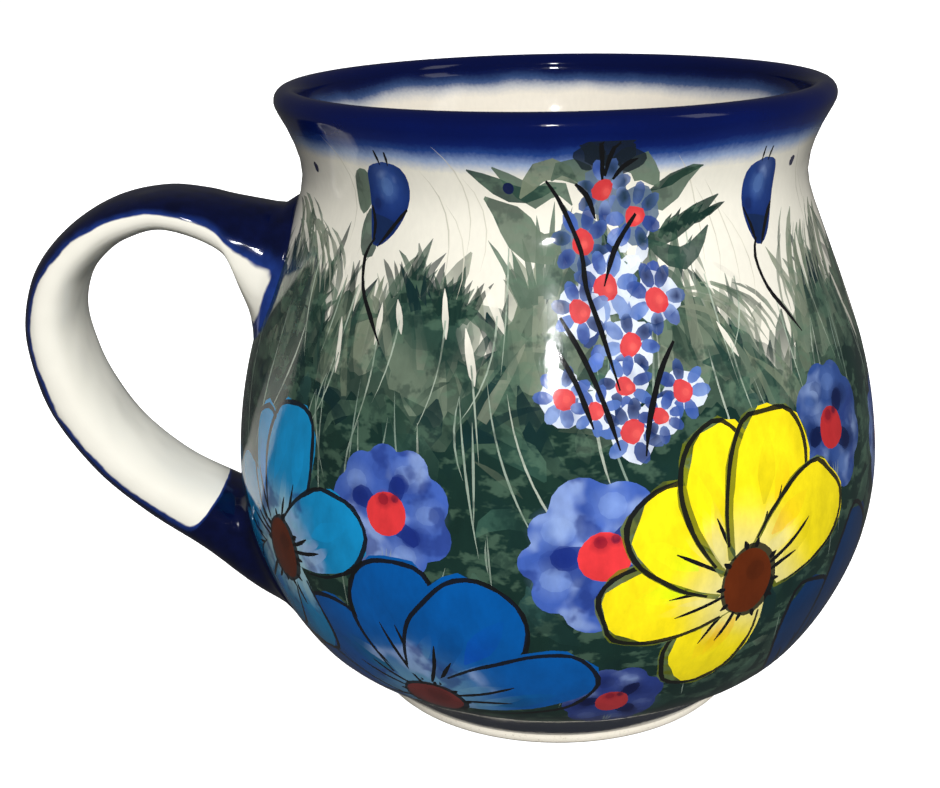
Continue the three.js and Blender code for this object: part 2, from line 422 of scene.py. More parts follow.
def bud(turn, up, lean=1, leaves=True):
    """A closed blue flower that hangs from a thin bent stem, with two whiskers on top."""
    def placed(*points):
        return [at(turn + lean * x, up + y) for x, y in points]

    def filled(points, colour, strength):
        brush(around(placed(*points)), colour, strength)

    if leaves:
        filled([(-3.6, 1.5), (-6, 3.4), (-9, 2.2), (-9.4, -1.4), (-7.4, -3.4), (-4.6, -1)], SAGES[2], 0.95)
        filled([(-3, -3), (-5.6, -2.4), (-7.2, -5.4), (-5.6, -9), (-2.4, -8.6)], DARK_GREENS[3], 0.9)
    outline = around(placed((0, 4.8), (-4.4, 3.6), (-5.4, 0), (-4.8, -4.4), (-3.2, -7.4), (-1, -7.2), (2, -5),
                            (4.6, -1.4), (5.2, 2), (3.6, 4.2)))
    middle, glint, shadow = placed((0, 2), (-0.4, 1), (-3.4, -1.6))
    brush(outline, (44, 76, 148), 1.0, (20, 44, 104), 1.0, middle, 6.5)
    bloom(glint, 2.8, (92, 126, 184), 0.7)
    bloom(shadow, 1.6, (16, 28, 70), 0.6)
    filled([(-4.4, -3), (-3.4, -7), (-1.2, -6.8), (2, -4.4), (-1, -3.4)], (20, 38, 66), 0.7)
    line(placed((-5, -2), (-3.6, -4.6), (-3.4, -7)), 0.62)
    line(placed((4.2, -2), (1, -4.6), (-2, -7.6)), 0.62)
    line(placed((-1.3, 6.6), (-0.9, 4.2)), 0.55)
    line(placed((1.2, 6.4), (1.1, 4.2)), 0.55)
    line(placed((-3, -6.4), (-4.6, -9), (-3.4, -13.5), (0, -17.5), (3, -21)), 0.7)


bud(-38, 89.6)
bud(43, 88.6, leaves=False)
for turn, lean in ((104, 1), (196, -1), (236, 1)):
    bud(turn, 89, lean)
for turn, up in ((-12, 91.4), (54.9, 91.7), (-63, 91.5), (88, 91), (122, 91.5), (176, 91.5), (218, 91.3)):
    brush(blob(at(turn, up), 0.95, 0.85), (18, 26, 70), 0.95)


# Pansies: scalloped, in watery blue-violet with a red eye.
WATERY = [(140, 168, 222), (66, 98, 182), (24, 44, 122), (230, 58, 62)]


def pansy(turn, up, radius, colours=WATERY, tall=1.05):
    """colours are the petals' light, middle and deep blue, and the eye."""
    light, mid, deep, eye = colours
    centre = at(turn, up)

    def spot(angle, share):
        return centre + toward(angle, radius * share) * (1, tall)

    breaks = np.cumsum([dice.uniform(0.7, 1.3) for _ in range(9)])
    breaks = breaks / breaks[-1] * 2 * math.pi
    full = [dice.uniform(0.1, 0.2) for _ in breaks]
    rim = []
    for k, (first, last) in enumerate(zip([0, *breaks[:-1]], breaks)):
        for share in np.linspace(0.05, 0.95, 7):
            size = 0.84 + full[k] * math.sin(math.pi * share) ** 0.6
            rim.append(spot(math.degrees(first + share * (last - first)), size))
    brush(rim, mid)
    for k in range(5):
        angle = 72 * k + dice.uniform(-16, 16)
        wide = radius * dice.uniform(0.36, 0.46)
        bloom(spot(angle, 0.64), wide, light, dice.uniform(0.2, 0.5), dice.uniform(0.7, 1))
        bloom(spot(angle + 36, 0.62), radius * 0.34, deep, dice.uniform(0.15, 0.4))
    for angle in (60 + dice.uniform(-20, 20), 175 + dice.uniform(-20, 20), 318 + dice.uniform(-20, 20)):
        brush(blob(spot(angle, 0.4), radius * 0.2, radius * 0.15, 0.25, 12, angle), deep, 0.8)
        bloom(spot(angle, 0.48), radius * 0.3, deep, 1.0)
    brush(blob(centre, radius * 0.32, radius * 0.33, 0.05), eye)
    bloom(spot(105, 0.2), radius * 0.17, (120, 16, 40), 0.9)
    bloom(spot(60, 0.26), radius * 0.12, (50, 10, 50), 0.7)
    for k in range(3):
        blade(spot(262 + 9 * k, 0.5), -84 - 8 * k, 0.4 * radius, 0.3, 0, (150, 166, 160), 0.6, taper=leaf)


pansy(-30, 45.6, 9.7)
pansy(4, 41.4, 11)
pansy(48.4, 52.8, 9.4, [(100, 130, 190), (48, 78, 144), (8, 24, 70), (196, 46, 50)], 1.1)
pansy(6.8, 14.2, 8.4, [(110, 130, 190), (40, 60, 130), (8, 20, 70), (180, 50, 56)])
for turn, up, radius in (
    (76, 45, 10), (128, 47, 10), (186, 46, 10.5), (82, 16, 8.5), (160, 11, 8), (240, 51, 9.5), (212, 12, 8),
):
    pansy(turn, up, radius)


# Daisies: broad petals washed out towards the heart, black outlines and veins, and a dark heart.
def petal_edge(heart, angle, length, half, slack=0.0):
    """The open edge of a petal, from the heart round its tip and back."""
    lower = np.linspace(0.12, 0.62, 7)
    upper = np.linspace(0, math.pi / 2, 7)[1:]
    t = np.concatenate([lower, 0.62 + 0.38 * np.sin(upper)])
    wide = np.concatenate([0.42 + 0.58 * np.sin(math.pi / 2 * lower / 0.62), np.cos(upper) ** 0.84])
    x, y = (length + slack) * t, (half + slack) * wide
    edge = np.vstack([np.column_stack([x, y]), np.column_stack([x, -y])[-2::-1]])
    t = np.linspace(0, 2 * math.pi, len(edge))
    edge *= (1 + 0.02 * np.sin(3 * t + angle) + 0.015 * np.sin(7 * t + 2 * angle))[:, None]
    c, s = toward(angle)
    return np.column_stack([edge[:, 0] * c - edge[:, 1] * s, edge[:, 0] * s + edge[:, 1] * c]) + heart


def daisy(turn, up, heart, petals, fill, pale, heart_colour, spill=(0.5, 0.5), halo=None):
    """heart is its half width and half height; petals are angle, length and half width."""
    middle = at(turn, up)
    for angle, length, half in petals:
        out = toward(angle)
        side = toward(angle + 90)
        if halo:
            brush(petal_edge(middle, angle, length, half, 0.5), halo, 0.85)
        edge = petal_edge(middle + np.array(spill), angle + dice.uniform(-2, 2), length, half, -0.2)
        brush(edge, pale, 1.0, fill, 1.0, middle + out * heart[0] * 0.6, middle + out * length * 0.52)
        for _ in range(2):
            root = middle + out * length * dice.uniform(0.25, 0.5) + side * half * dice.uniform(-0.5, 0.5)
            shade = [min(int(c * dice.choice([0.78, 1.16])), 255) for c in fill]
            blade(root, angle + dice.gauss(0, 6), length * 0.4, half * 0.45, 0, shade, 0.45, 0.1, leaf)
        for _ in range(2):
            root = middle + out * heart[0] * 1.1 + side * half * dice.uniform(-0.6, 0.6)
            lean = angle + dice.gauss(0, 10)
            blade(root, lean, length * dice.uniform(0.3, 0.45), half * 0.3, 0, pale, 0.7, 0.0, leaf)
        rim = petal_edge(middle, angle, length, half)
        line([*rim[1:-1:2], rim[-2]], 0.72, INK, 0.97)
        for k in range(dice.choice([2, 3, 3])):
            lean = (k - 1) * 14 + dice.uniform(-4, 4)
            root = middle + toward(angle + lean, heart[0] * 0.9)
            far = root + toward(angle + lean * 0.8, length * dice.uniform(0.22, 0.46))
            line([root, (root + far) / 2 + side * dice.uniform(-0.4, 0.4), far], 0.6)
    brush(blob(middle, heart[0] + 0.75, heart[1] + 0.75, 0.06, 24), INK, 0.95)
    brush(blob(middle + (-0.2, -0.1), heart[0], heart[1], 0.03, 22), heart_colour)
    shaded = [int(c * 0.72) for c in heart_colour]
    bloom(middle + (0.2 * heart[0], 0.3 * heart[1]), heart[0] * 0.8, shaded, 0.6)
    for k in range(10):
        root = middle + toward(36 * k + dice.uniform(-9, 9)) * np.array(heart)
        line([root, root + toward(36 * k, 1.4)], 0.8)


SKY = (16, 142, 200)
BLUE = (0, 88, 166)
NIGHT = (0, 50, 98)
YELLOW = (255, 233, 22)
LEMON = (240, 228, 150)
OLIVE = (104, 112, 22)
BROWN = (98, 42, 18)
MAROON = (122, 52, 50)
SPREAD = [(182, 27, 5.8), (146, 25, 7.8), (97, 27, 7.8), (62, 27.4, 8.4), (20, 28.4, 6.6)]
HIDDEN = [(107, 29, 6.2), (82, 36, 6.6), (50, 24, 6), (20, 22, 5)]
LEANING = [
    (195, 20, 5.4), (150, 19, 5.4), (272, 19, 6.8), (236, 20, 6.4), (108, 22, 5), (84, 24, 6),
    (29, 19.5, 6.4),
]
OPEN = [(243, 19, 6.8), (184, 22, 6.4), (139, 21.5, 7), (105, 24, 6.6), (77, 25.2, 7), (33, 21, 7)]
RISING = [(176, 24, 5.4), (140, 25, 6.6), (100, 27, 6.8), (62, 26, 7), (22, 26, 5.6)]
RINGED = [
    (20, 21, 5.6), (72, 22, 5.8), (124, 21, 5.6), (176, 21, 5.4), (228, 20, 5.6), (284, 20, 5.8),
    (332, 20, 5.4),
]
daisy(52, 3, (5, 4), HIDDEN, NIGHT, (10, 66, 112), (92, 38, 14))
daisy(-26.9, 12, (5.2, 3.6), SPREAD, BLUE, (104, 156, 190), MAROON, (0.3, 0.8))
daisy(-54.7, 34, (3.5, 5), LEANING, SKY, (176, 216, 226), BROWN, (0.3, 0.6))
daisy(28, 34.5, (3.9, 5.2), OPEN, YELLOW, LEMON, (98, 40, 12), (0.7, 0.3), OLIVE)
daisy(128, 11, (5, 3.8), RISING, BLUE, (104, 156, 190), MAROON)
daisy(238, 12, (5, 3.8), RISING, BLUE, (96, 150, 188), MAROON)
daisy(186, 10, (5, 3.8), RISING, NIGHT, (30, 90, 140), MAROON)
daisy(101, 37, (3.8, 4.6), RINGED, SKY, (142, 190, 202), BROWN)
daisy(158, 35, (4, 5), RINGED, YELLOW, LEMON, (98, 40, 12), halo=OLIVE)
daisy(213, 37, (3.8, 4.6), RINGED, SKY, (142, 190, 202), BROWN)
daisy(262, 34, (3.6, 4.6), RINGED[:4], SKY, (120, 170, 190), BROWN)


# ---- The painted pot -------------------------------------------------------------------------
# The flat sheet is cut along every stroke, each patch takes the colours laid over it, and then it is
# wrapped round the section to close up as the thrown pot. Clear glaze over pale clay, cobalt lip.
def inside(outline, spots):
    """Which spots lie inside an outline, by how often it winds round them."""
    x, y = spots[:, 0:1], spots[:, 1:2]
    ax, ay = outline[:, 0], outline[:, 1]
    bx, by = np.roll(ax, -1), np.roll(ay, -1)
    left = (bx - ax) * (y - ay) - (x - ax) * (by - ay)
    winding = ((ay <= y) & (by > y) & (left > 0)).sum(1) - ((ay > y) & (by <= y) & (left < 0)).sum(1)
    return winding != 0


def flat_sheet():
    """Points, faces and the colour at each face corner of the painted stretch, laid out flat."""
    ends = [SEAM + ROUND * k / COLUMNS for k in range(COLUMNS + 1)]
    rows = np.linspace(PAINT_LOW, PAINT_HIGH, 38)
    ring = [(x, rows[0]) for x in ends] + [(ends[-1], y) for y in rows[1:]]
    ring += [(x, rows[-1]) for x in ends[-2::-1]] + [(ends[0], y) for y in rows[-2:0:-1]]
    points = [Vector(p) for p in ring]
    edges = [(k, (k + 1) % len(ring)) for k in range(len(ring))]
    for y in rows[1:-1]:
        for x in ends[1:-1]:
            points.append(Vector((x + dice.uniform(-0.4, 0.4), y + dice.uniform(-0.4, 0.4))))
    drawn = np.vstack([outline for outline, *_ in strokes])
    sizes = [len(outline) for outline, *_ in strokes]
    owner = np.repeat(np.arange(len(strokes)), sizes)
    after = np.arange(len(drawn))
    for stop, size in zip(np.cumsum(sizes), sizes):
        after[stop - size:stop] = np.roll(after[stop - size:stop], -1)
    seen = np.ones(len(drawn), bool)
    for k, (outline, _, _, strength, _, weak, *_) in enumerate(strokes):
        if min(strength, weak) == 1:  # full cover hides the edges of what was painted before
            low, high = outline.min(0), outline.max(0)
            near = np.nonzero((owner < k) & (drawn > low).all(1) & (drawn < high).all(1))[0]
            covered = np.zeros(len(drawn), bool)
            covered[near[inside(outline, drawn[near])]] = True
            seen &= ~(covered & covered[after])
    kept = np.unique(np.concatenate([np.nonzero(seen)[0], after[seen]]))
    place = np.full(len(drawn), -1)
    place[kept] = len(points) + np.arange(len(kept))
    points += [Vector(p) for p in drawn[kept]]
    edges += [(int(a), int(b)) for a, b in zip(place[seen], place[after[seen]])]
    found = delaunay_2d_cdt(points, edges, [], 1, 1e-5, False)
    corners = np.array([f for f in found[2] if len(f) == 3])
    return np.array([tuple(p) for p in found[0]]), corners


def lay_colours(points, corners):
    """Red, green, blue and cover at every face corner, with the strokes laid on in order."""
    spots = points[corners].mean(1)
    spots[:, 0] = spots[:, 0].clip(SEAM + 0.62, SEAM + ROUND - 0.62)
    spots[:, 1] = spots[:, 1].clip(PAINT_LOW + 0.52, PAINT_HIGH - 0.52)
    order = np.argsort(spots[:, 0])
    spots, corners = spots[order], corners[order]
    paint = np.zeros((len(corners), 3, 4))
    for outline, shift, colour, strength, end, weak, start, reach in strokes:
        first, last = np.searchsorted(spots[:, 0], (outline[:, 0].min(), outline[:, 0].max()))
        level = spots[first:last, 1]
        near = first + np.nonzero((level > outline[:, 1].min()) & (level < outline[:, 1].max()))[0]
        near = near[inside(outline, spots[near])]
        if reach is None:
            share = np.zeros((len(near), 3, 1))
        else:
            away = points[corners[near]] - start - (shift, 0)
            if np.ndim(reach):
                way = np.array(reach) - start
                share = (away @ way / (way @ way))[..., None]
            else:
                share = np.linalg.norm(away, axis=2, keepdims=True) / reach
            share = share.clip(0, 1)
            share = share * share * (3 - 2 * share)
        alpha = strength + (weak - strength) * share
        under = paint[near]
        cover = alpha + under[..., 3:] * (1 - alpha)
        mixed = (colour + (end - colour) * share) * alpha + under[..., :3] * under[..., 3:] * (1 - alpha)
        paint[near] = np.concatenate([mixed / np.maximum(cover, 1e-6), cover], 2)
    return corners, paint


def plain_rows(low, high):
    """Heights between low and high, closer together where the section bends."""
    picked = (climb >= low) & (climb <= high)
    heights, bends = climb[picked], sideways(section)[picked]
    kept = [low]
    facing = bends[0]
    for height, bend in zip(heights[1:], bends[1:]):
        if height - kept[-1] > 3.2 or bend @ facing < math.cos(math.radians(7)) and height - kept[-1] > 0.4:
            kept.append(height)
            facing = bend
    return [*kept[:-1], high]


painted_points, painted_corners = flat_sheet()
painted_corners, painted_colours = lay_colours(painted_points, painted_corners)
points, faces = [tuple(p) for p in painted_points], painted_corners.tolist()
columns = [SEAM + ROUND * k / COLUMNS for k in range(COLUMNS + 1)]
for rows in (plain_rows(climb[0], PAINT_LOW), plain_rows(PAINT_HIGH, climb[-1])):
    for low_row in range(len(rows) - 1):
        for k in range(COLUMNS):
            base = len(points) + low_row * (COLUMNS + 1) + k
            faces.append([base, base + 1, base + COLUMNS + 2, base + COLUMNS + 1])
    points += [(x, y) for y in rows for x in columns]
flat = bpy.data.meshes.new("flat_sheet")
flat.from_pydata([(x * MM, (y - climb[0]) * MM, 0) for x, y in points], [], faces)
colours = np.zeros((len(flat.loops), 4), np.float32)
colours[: painted_corners.size] = painted_colours.reshape(-1, 4)
flat.attributes.new("paint", "FLOAT_COLOR", "CORNER").data.foreach_set("color", colours.ravel())
heights = np.array(points)[:, 1].astype(np.float32)
flat.attributes.new("climb", "FLOAT", "POINT").data.foreach_set("value", heights)


def put(name, data=None):
    """A new object in the scene, with an empty mesh where no data is given."""
    made = bpy.data.objects.new(name, data or bpy.data.meshes.new(name))
    bpy.context.scene.collection.objects.link(made)
    return made


def guide_line(name, x, y, z):
    """A helper curve through points given in millimetres, for a node tree to follow."""
    data = bpy.data.curves.new(name, "CURVE")
    data.dimensions = "3D"
    curve = data.splines.new("POLY")
    curve.points.add(len(x) - 1)
    points = np.column_stack(np.broadcast_arrays(x, y, z)) * MM
    curve.points.foreach_set("co", np.column_stack([points, np.ones(len(x))]).ravel())
    return put(name, data)


def wire(tree, kind, inputs, output=0, **settings):
    """Adds a node whose inputs are given by name or number, and returns one of its outputs."""
    node = tree.nodes.new(kind)
    for key, value in settings.items():
        setattr(node, key, value)
    for key, value in inputs.items():
        if isinstance(value, bpy.types.NodeSocket):
            tree.links.new(value, node.inputs[key])
        else:
            node.inputs[key].default_value = value
    return node.outputs[output]


class Tree:
    """A geometry node tree that is written down step by step."""

    def __init__(self, name, **inputs):
        self.tree = bpy.data.node_groups.new(name, "GeometryNodeTree")
        self.sockets = {}
        new_socket = self.tree.interface.new_socket
        for label, kind in {"Geometry": "Geometry", **inputs}.items():
            socket = new_socket(label.replace("_", " "), in_out="INPUT", socket_type="NodeSocket" + kind)
            self.sockets[label] = socket.identifier
        new_socket("Geometry", in_out="OUTPUT", socket_type="NodeSocketGeometry")
        self.given = self.tree.nodes.new("NodeGroupInput")

    def give(self, label):
        return next(s for s in self.given.outputs if s.identifier == self.sockets[label])

    def add(self, kind, *values, **settings):
        """A node whose first inputs are values, each a number or another node's output."""
        node = self.tree.nodes.new(kind)
        for key, value in settings.items():
            setattr(node, key, value)
        usable = [s for s in node.inputs if s.enabled and not s.is_unavailable]
        for socket, value in zip(usable, values):
            if isinstance(value, bpy.types.NodeSocket):
                self.tree.links.new(value, socket)
            elif value is not None:
                socket.default_value = value
        return [s for s in node.outputs if s.enabled and not s.is_unavailable]

    def math(self, operation, *values):
        return self.add("ShaderNodeMath", *values, operation=operation)[0]

    def vector(self, operation, a, b):
        second = "Scale" if operation == "SCALE" else 1
        return wire(self.tree, "ShaderNodeVectorMath", {0: a, second: b}, operation=operation)

    def shape(self, label):
        """The geometry of the object that an input names."""
        return next(s for s in self.add("GeometryNodeObjectInfo", self.give(label)) if s.type == "GEOMETRY")

    def note(self, geometry, name, value, kind="FLOAT"):
        """The same geometry with a value kept at every point."""
        inputs = {"Geometry": geometry, "Name": name}
        kept = wire(self.tree, "GeometryNodeStoreNamedAttribute", inputs, data_type=kind, domain="POINT")
        self.tree.links.new(value, kept.node.inputs["Value"])
        return kept

    def finish(self, geometry, material):
        real = self.add("GeometryNodeRealizeInstances", geometry)[0]
        done = self.add("GeometryNodeSetMaterial", real, True, material)[0]
        self.tree.links.new(done, self.tree.nodes.new("NodeGroupOutput").inputs[0])

    def make(self, name, start, **values):
        """Runs the tree on an object and returns the result as a plain one."""
        modifier = start.modifiers.new("make", "NODES")
        modifier.node_group = self.tree
        for label, value in values.items():
            modifier[self.sockets[label]] = value
        start.update_tag()
        seen = start.evaluated_get(bpy.context.evaluated_depsgraph_get())
        mesh = bpy.data.meshes.new_from_object(seen)
        start.modifiers.remove(modifier)
        mesh.name = name
        return put(name, mesh)


def drop(*helpers):
    """Takes away objects that only helped to make a piece."""
    for helper in helpers:
        bpy.data.objects.remove(helper)


class Finish:
    """A material that is written down step by step on one Principled shader."""

    def __init__(self, name, **sockets):
        self.material = bpy.data.materials.new(name)
        self.material.use_nodes = True
        self.tree = self.material.node_tree
        self.shader = self.tree.nodes["Principled BSDF"]
        for label, value in sockets.items():
            self.shader.inputs[label.replace("_", " ")].default_value = value

    def add(self, kind, inputs, output=0, **settings):
        return wire(self.tree, kind, inputs, output, **settings)

    def attribute(self, name, output="Fac"):
        return self.add("ShaderNodeAttribute", {}, output, attribute_name=name)

    def noise(self, scale, detail, stretch=(1, 1, 1), roughness=0.5):
        place = self.add("ShaderNodeTexCoord", {}, "Object")
        place = self.add("ShaderNodeMapping", {"Vector": place, "Scale": stretch})
        inputs = {"Vector": place, "Scale": scale, "Detail": detail, "Roughness": roughness}
        return self.add("ShaderNodeTexNoise", inputs)

    def between(self, value, low, high, to_low=0.0, to_high=1.0, smooth=False):
        inputs = {"Value": value, "From Min": low, "From Max": high, "To Min": to_low, "To Max": to_high}
        step = "SMOOTHSTEP" if smooth else "LINEAR"
        return self.add("ShaderNodeMapRange", inputs, interpolation_type=step)

    def math(self, operation, a, b):
        return self.add("ShaderNodeMath", {0: a, 1: b}, operation=operation)

    def mix(self, share, a, b):
        def colour(value):
            return value if isinstance(value, bpy.types.NodeSocket) else (*linear(value), 1.0)

        return self.add("ShaderNodeMix", {0: share, 6: colour(a), 7: colour(b)}, output=2, data_type="RGBA")

    def ramp(self, value, stops):
        node = self.tree.nodes.new("ShaderNodeValToRGB")
        self.tree.links.new(value, node.inputs[0])
        bar = node.color_ramp.elements
        while len(bar) < len(stops):
            bar.new(0.5)
        for element, (position, colour) in zip(bar, stops):
            element.position = position
            element.color = (*linear(colour), 1.0)
        return node.outputs[0]

    def brightness(self, colour, value):
        return self.add("ShaderNodeHueSaturation", {"Color": colour, "Value": value})

    def wear(self, colour, roughness, height, depth):
        """Connects colour and roughness, and a height that stands out by depth metres."""
        self.tree.links.new(colour, self.shader.inputs["Base Color"])
        self.tree.links.new(roughness, self.shader.inputs["Roughness"])
        bump = self.add("ShaderNodeBump", {"Height": height, "Strength": 1.0, "Distance": depth})
        self.tree.links.new(bump, self.shader.inputs["Normal"])
        return self.material


# The glaze zones run with the distance along the section: navy slip on the slanted base, ivory
# wall, sprayed cobalt round the lip, and cream inside.
glaze = Finish("painted_glaze", IOR=1.5, Coat_Weight=0.25, Coat_Roughness=0.04)
drift = glaze.noise(70, 2)
grain = glaze.noise(1900, 2)
height = glaze.math("ADD", glaze.attribute("climb"), glaze.between(drift, 0.3, 0.7, -0.7, 0.7))
height = glaze.math("ADD", height, glaze.between(grain, 0.3, 0.7, -0.14, 0.14))
LOWEST, HIGHEST = -20.0, 130.0
inside_edge = WALL_TOP + LIP_ROUND * 1.2 * math.pi
zones = glaze.ramp(
    glaze.between(height, LOWEST, HIGHEST),
    [((up - LOWEST) / (HIGHEST - LOWEST), colour) for up, colour in (
        (-7.4, (226, 220, 206)), (-6.6, (24, 30, 50)), (1.0, (44, 54, 72)), (3.0, (66, 80, 84)),
        (5.0, IVORY), (93.2, IVORY), (95.0, (150, 172, 210)), (96.4, (40, 74, 146)), (97.8, (8, 32, 104)),
        (99.4, (2, 20, 84)), (101.5, (3, 14, 66)), (inside_edge, (2, 10, 54)), (inside_edge + 1, (2, 12, 60)),
        (inside_edge + 2.8, (50, 74, 118)), (inside_edge + 4.2, (178, 180, 184)),
        (inside_edge + 5.6, (224, 217, 203)),
    )],
)
paint_colour = glaze.attribute("paint", "Color")
paint_cover = glaze.attribute("paint", "Alpha")

# The meadow's greens are sponged and rubbed, so they break up into lighter and darker patches.
split = glaze.add("ShaderNodeSeparateColor", {0: paint_colour}).node.outputs
greenness = glaze.math("SUBTRACT", split["Green"], glaze.math("MAXIMUM", split["Blue"], split["Red"]))
not_yellow = glaze.between(split["Red"], 0.5, 0.6, 1, 0)
greenness = glaze.math("MULTIPLY", glaze.between(greenness, 0.002, 0.006), not_yellow)
lighter = glaze.between(glaze.noise(230, 3, (1, 1, 1.7), 0.6), 0.5, 0.6, 0.0, 0.42, smooth=True)
darker = glaze.between(glaze.noise(170, 4, (1.2, 1.2, 1), 0.6), 0.52, 0.6, 0.0, 0.5, smooth=True)
meadow = glaze.mix(glaze.math("MULTIPLY", greenness, lighter), paint_colour, (92, 122, 100))
meadow = glaze.mix(glaze.math("MULTIPLY", greenness, darker), meadow, (18, 44, 42))
# The violet-blue of the pansies is watery, so it clouds over and pools.
violet = glaze.math("SUBTRACT", split["Blue"], split["Red"])
violet = glaze.math("MULTIPLY", glaze.between(split["Red"], 0.015, 0.04), glaze.between(violet, 0.1, 0.25))
clouded = glaze.between(glaze.noise(150, 2), 0.5, 0.64, 0.0, 0.62, smooth=True)
pool = glaze.between(glaze.noise(190, 3), 0.52, 0.62, 0.0, 0.6, smooth=True)
flowers = glaze.mix(glaze.math("MULTIPLY", violet, clouded), meadow, (158, 182, 228))
flowers = glaze.mix(glaze.math("MULTIPLY", violet, pool), flowers, (28, 48, 124))
colour = glaze.mix(paint_cover, zones, flowers)
wash_noise = glaze.noise(260, 5, (1, 1, 0.55), 0.62)
fine_noise = glaze.noise(1500, 3, (1, 1, 0.4))
pooled = glaze.between(wash_noise, 0.3, 0.7, 0.84, 1.14)
brushed = glaze.between(fine_noise, 0.3, 0.7, 0.98, 1.02)
tone = glaze.math("MULTIPLY", pooled, brushed)
tone = glaze.add("ShaderNodeMix", {0: paint_cover, 2: brushed, 3: tone}, data_type="FLOAT")
colour = glaze.brightness(colour, tone)
roughness = glaze.between(glaze.noise(240, 4), 0.3, 0.7, 0.07, 0.13)
relief = glaze.math("ADD", glaze.noise(38, 2), glaze.math("MULTIPLY", fine_noise, 0.012))
painted_glaze = glaze.wear(colour, roughness, relief, 0.0009)

# The node tree wraps the sheet: its x goes round the axis and its y goes along the section.
wheel = Tree("wrap_on_the_wheel", Section="Object", Girth="Float", Axis="Float")
x, y, _ = wheel.add("ShaderNodeSeparateXYZ", wheel.add("GeometryNodeInputPosition")[0])
turned = wheel.math("MULTIPLY", wheel.math("DIVIDE", x, wheel.give("Girth")), 2 * math.pi)
sine, cosine = wheel.math("SINE", turned), wheel.math("COSINE", turned)
sample = wire(wheel.tree, "GeometryNodeSampleCurve", {"Curves": wheel.shape("Section")}, mode="LENGTH").node
wheel.tree.links.new(y, sample.inputs["Length"])
radius, _, up = wheel.add("ShaderNodeSeparateXYZ", sample.outputs["Position"])
lean, _, steep = wheel.add("ShaderNodeSeparateXYZ", sample.outputs["Tangent"])
place = wheel.add(
    "ShaderNodeCombineXYZ",
    wheel.math("ADD", wheel.math("MULTIPLY", radius, sine), wheel.give("Axis")),
    wheel.math("MULTIPLY", wheel.math("MULTIPLY", radius, cosine), -1.0),
    up,
)[0]
facing = wheel.add(
    "ShaderNodeCombineXYZ",
    wheel.math("MULTIPLY", steep, sine),
    wheel.math("MULTIPLY", wheel.math("MULTIPLY", steep, cosine), -1.0),
    wheel.math("MULTIPLY", lean, -1.0),
)[0]
kept = wheel.note(wheel.give("Geometry"), "facing", facing, "FLOAT_VECTOR")
moved = wheel.add("GeometryNodeSetPosition", kept, True, place)[0]
closed = wheel.add("GeometryNodeMergeByDistance", moved, True, 1e-6)[0]
wheel.finish(wheel.add("GeometryNodeSetShadeSmooth", closed, True, True)[0], painted_glaze)

sheet = put("flat_sheet", flat)
section_curve = guide_line("section", section[:, 0], 0, section[:, 1])
pot = wheel.make("painted_pot", sheet, Section=section_curve, Girth=ROUND * MM, Axis=AXIS_X)
drop(sheet, section_curve)


def face_with(mesh):
    """Shades a mesh by its stored facing directions."""
    stored = np.zeros(len(mesh.vertices) * 3, np.float32)
    mesh.attributes["facing"].data.foreach_get("vector", stored)
    mesh.attributes.remove(mesh.attributes["facing"])
    mesh.normals_split_custom_set_from_vertices(stored.reshape(-1, 3).tolist())


face_with(pot.data)
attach(pot, "root")
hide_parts("body")


# ---- The foot ring ---------------------------------------------------------------------------
# The pot stands on a low ring of bare clay, wiped clean of glaze so that it doesn't stick to the
# kiln shelf. It is turned from the same body, so it closes up against the underside.
ring_low, ring_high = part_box("foot_ring")
FOOT_OUTER = (ring_high.y - ring_low.y) / 2 / MM
FOOT_INNER = FOOT_OUTER - 6
CHAMFER = 0.5

clay = Finish("bare_clay", IOR=1.45)
speckle = clay.between(clay.noise(2200, 2), 0.62, 0.7)
tint = clay.mix(clay.noise(160, 4), (226, 218, 200), (242, 236, 222))
tint = clay.mix(clay.math("MULTIPLY", speckle, 0.35), tint, (150, 132, 112))
dryness = clay.between(clay.noise(900, 3), 0.3, 0.7, 0.6, 0.85)
bare_clay = clay.wear(tint, dryness, clay.noise(3200, 4), 0.00008)

turning = Tree("turned_ring", Outline="Object", Radius="Float", Axis="Float", Turns="Int")
circle = turning.add("GeometryNodeCurvePrimitiveCircle", turning.give("Turns"), turning.give("Radius"))[0]
around_ring = turning.add("GeometryNodeCurveToMesh", circle, turning.shape("Outline"))[0]
centre = turning.add("ShaderNodeCombineXYZ", turning.give("Axis"), 0.0, 0.0)[0]
turning.finish(turning.add("GeometryNodeTransform", around_ring, centre)[0], bare_clay)

ring_outline = [
    (FOOT_INNER, UNDERSIDE), (FOOT_INNER + 0.5, CHAMFER), (FOOT_INNER + 0.6 + CHAMFER, 0),
    (FOOT_OUTER - CHAMFER, 0), (FOOT_OUTER, CHAMFER), (FOOT_OUTER, UNDERSIDE),
]
FOOT_MIDDLE = (FOOT_OUTER + FOOT_INNER) / 2
ring_reach, ring_height = np.array(ring_outline[::-1]).T
outline_curve = guide_line("ring_outline", ring_reach - FOOT_MIDDLE, -ring_height, 0)
outline_curve.data.splines[0].use_cyclic_u = True
blank = put("blank")
foot = turning.make("foot_ring_clay", blank, Outline=outline_curve, Radius=FOOT_MIDDLE * MM, Axis=AXIS_X,
                    Turns=144)
drop(blank, outline_curve)
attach(foot, "root")
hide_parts("foot_ring")


